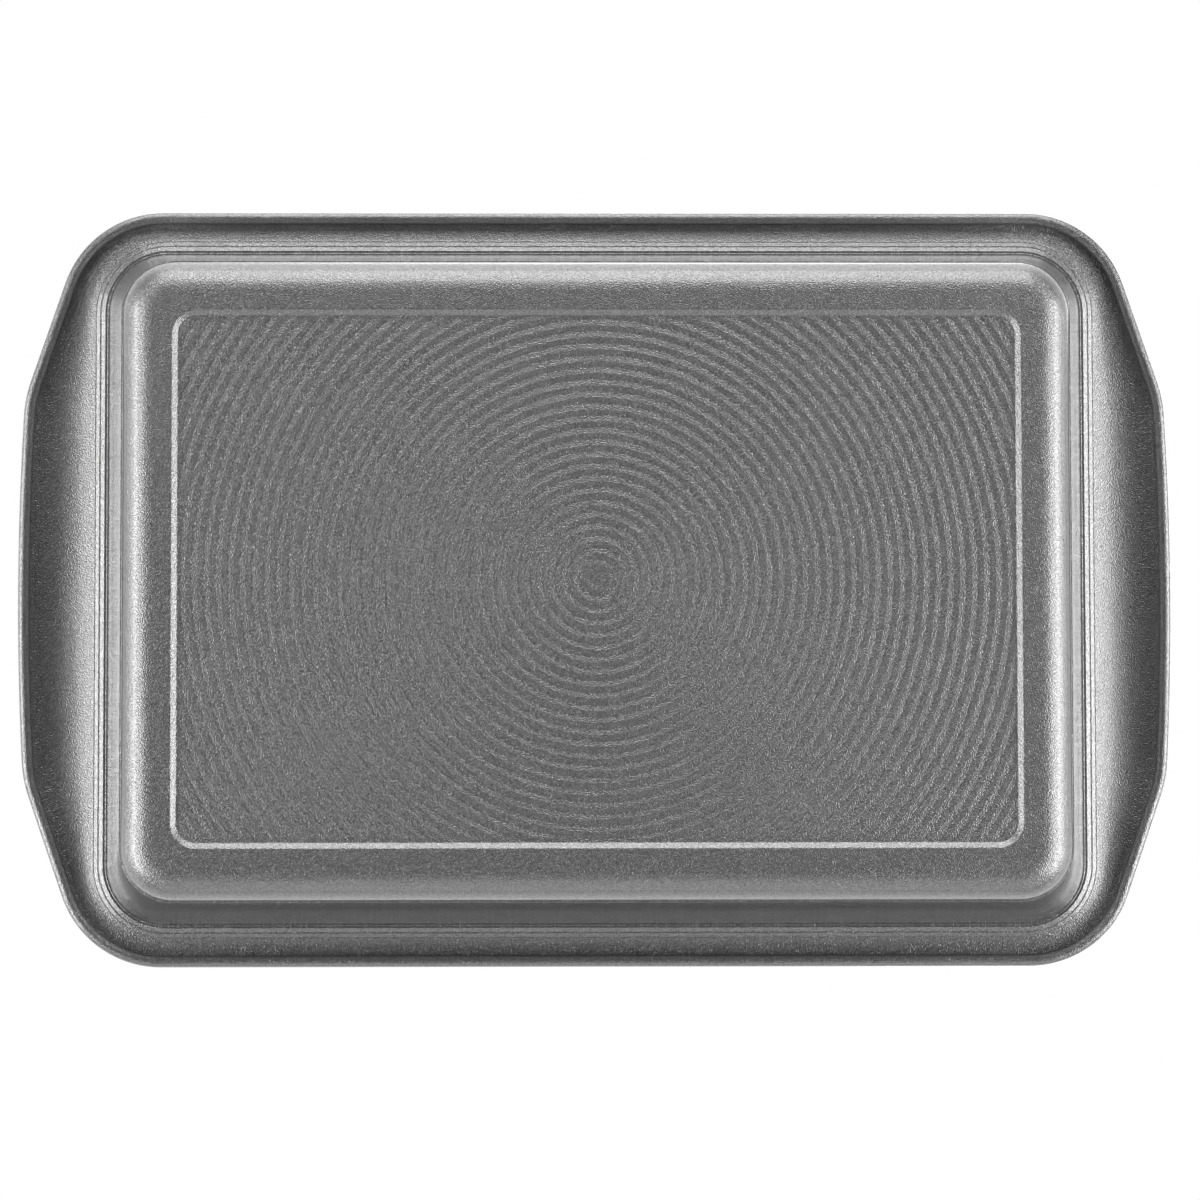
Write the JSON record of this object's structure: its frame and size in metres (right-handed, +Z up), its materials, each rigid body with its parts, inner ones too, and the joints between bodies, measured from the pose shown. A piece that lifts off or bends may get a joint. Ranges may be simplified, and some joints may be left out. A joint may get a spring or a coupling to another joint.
{
  "type": "rectangular cake pan",
  "caption": "Rectangular pressed-steel cake pan with leaning walls, a ribbed base panel, a stepped ledge, a wired rolled rim and broad plate handles at both ends.",
  "frame": {"origin": "centre of the base on the plane of the foot band, where the upright pan stands", "axes": "+X along the length towards a handle, +Y across the width, +Z up out of the opening"},
  "size_m": [0.392, 0.257, 0.0517],
  "materials": {
    "coated_steel": "satin gunmetal-grey non-stick coating with a fine metallic grain",
    "bare_steel": "plain drawn steel wire"
  },
  "bodies": {
    "root": {"pan_body": "coated_steel", "rim_wire": "bare_steel"}
  },
  "joints": []
}
